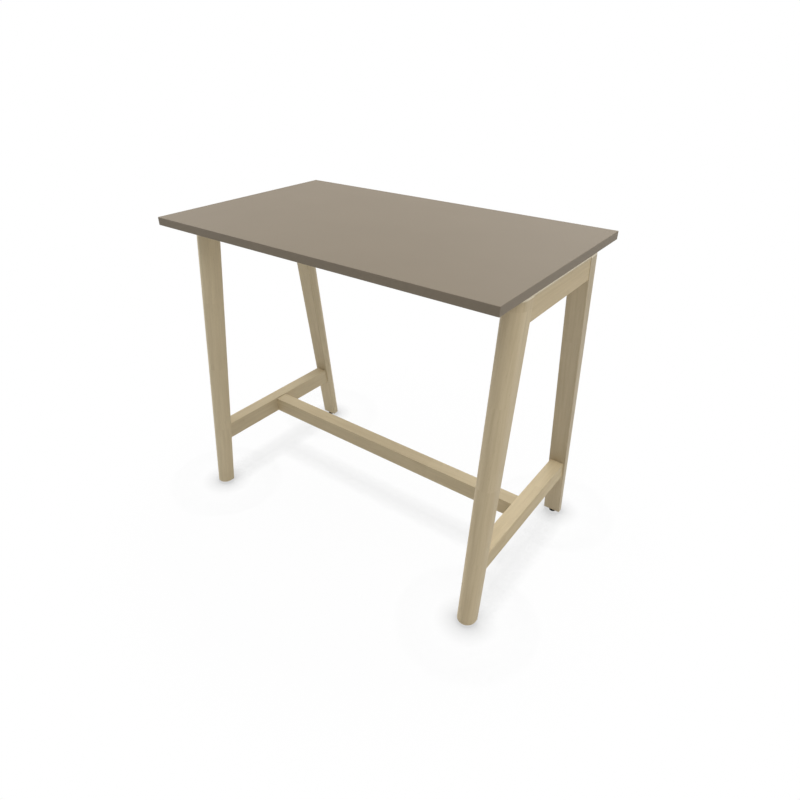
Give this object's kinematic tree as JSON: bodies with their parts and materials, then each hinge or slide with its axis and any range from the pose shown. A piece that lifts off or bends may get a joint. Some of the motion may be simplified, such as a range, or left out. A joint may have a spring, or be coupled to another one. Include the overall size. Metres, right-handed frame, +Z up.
{
  "type": "high table",
  "caption": "Rectangular high table: laminated board on two splayed wooden end frames with half-round legs, foot rails and one long stretcher, on levelling feet.",
  "frame": {"origin": "on the floor, below the centre of the board", "axes": "+X along the board's length, +Y towards the back, +Z up"},
  "size_m": [1.2, 0.706, 1.05],
  "materials": {
    "taupe_laminate": "matt taupe laminate with a faint fine grain",
    "taupe_edge_band": "matt taupe plastic edge band",
    "chipboard": "pressed wood chips",
    "pale_wood": "pale matt-lacquered oak, grain along each piece",
    "dowel_wood": "plain beech",
    "cast_zinc": "cast zinc alloy",
    "plated_steel": "zinc-plated steel",
    "black_steel": "black-coated steel",
    "black_plastic": "matt black moulded plastic",
    "dark_rubber": "soft dark rubber"
  },
  "bodies": {
    "table": {"top_core": "chipboard", "upper_laminate": "taupe_laminate", "lower_laminate": "taupe_laminate", "edge_band_front": "taupe_edge_band", "edge_band_back": "taupe_edge_band", "edge_band_left": "taupe_edge_band", "edge_band_right": "taupe_edge_band", "leg_front_left": "pale_wood", "leg_front_right": "pale_wood", "leg_back_left": "pale_wood", "leg_back_right": "pale_wood", "top_rail_left": "pale_wood", "top_rail_right": "pale_wood", "foot_rail_left": "pale_wood", "foot_rail_right": "pale_wood", "stretcher": "pale_wood", "top_rail_dowels": "dowel_wood", "foot_rail_dowels": "dowel_wood", "stretcher_dowels": "dowel_wood", "cam_housings": "cast_zinc", "cam_bolts": "plated_steel", "top_screws": "plated_steel", "top_washers": "plated_steel", "top_inserts": "plated_steel", "leg_inserts": "plated_steel"},
    "foot_front_left": {"leveller_pad_front_left": "black_plastic", "leveller_sole_front_left": "dark_rubber"},
    "stud_front_left": {"leveller_stud_front_left": "black_steel"},
    "foot_front_right": {"leveller_pad_front_right": "black_plastic", "leveller_sole_front_right": "dark_rubber"},
    "stud_front_right": {"leveller_stud_front_right": "black_steel"},
    "foot_back_left": {"leveller_pad_back_left": "black_plastic", "leveller_sole_back_left": "dark_rubber"},
    "stud_back_left": {"leveller_stud_back_left": "black_steel"},
    "foot_back_right": {"leveller_pad_back_right": "black_plastic", "leveller_sole_back_right": "dark_rubber"},
    "stud_back_right": {"leveller_stud_back_right": "black_steel"}
  },
  "joints": [
    {"name": "height_front_left", "type": "slide", "parent": "table", "child": "foot_front_left", "axis": [0, 0, -1], "range_m": [0, 0.01]},
    {"name": "turn_front_left", "type": "hinge", "parent": "foot_front_left", "child": "stud_front_left", "pos_m": [-0.5655, -0.312, 0.009], "axis": [0, 0, -1], "range_deg": [0, 2880]},
    {"name": "height_front_right", "type": "slide", "parent": "table", "child": "foot_front_right", "axis": [0, 0, -1], "range_m": [0, 0.01]},
    {"name": "turn_front_right", "type": "hinge", "parent": "foot_front_right", "child": "stud_front_right", "pos_m": [0.5655, -0.312, 0.009], "axis": [0, 0, -1], "range_deg": [0, 2880]},
    {"name": "height_back_left", "type": "slide", "parent": "table", "child": "foot_back_left", "axis": [0, 0, -1], "range_m": [0, 0.01]},
    {"name": "turn_back_left", "type": "hinge", "parent": "foot_back_left", "child": "stud_back_left", "pos_m": [-0.5655, 0.312, 0.009], "axis": [0, 0, -1], "range_deg": [0, 2880]},
    {"name": "height_back_right", "type": "slide", "parent": "table", "child": "foot_back_right", "axis": [0, 0, -1], "range_m": [0, 0.01]},
    {"name": "turn_back_right", "type": "hinge", "parent": "foot_back_right", "child": "stud_back_right", "pos_m": [0.5655, 0.312, 0.009], "axis": [0, 0, -1], "range_deg": [0, 2880]}
  ],
  "couplings": [
    {"joint": "height_front_left", "follows": "turn_front_left", "m_per_rad": 0.00019894},
    {"joint": "height_front_right", "follows": "turn_front_right", "m_per_rad": 0.00019894},
    {"joint": "height_back_left", "follows": "turn_back_left", "m_per_rad": 0.00019894},
    {"joint": "height_back_right", "follows": "turn_back_right", "m_per_rad": 0.00019894}
  ]
}
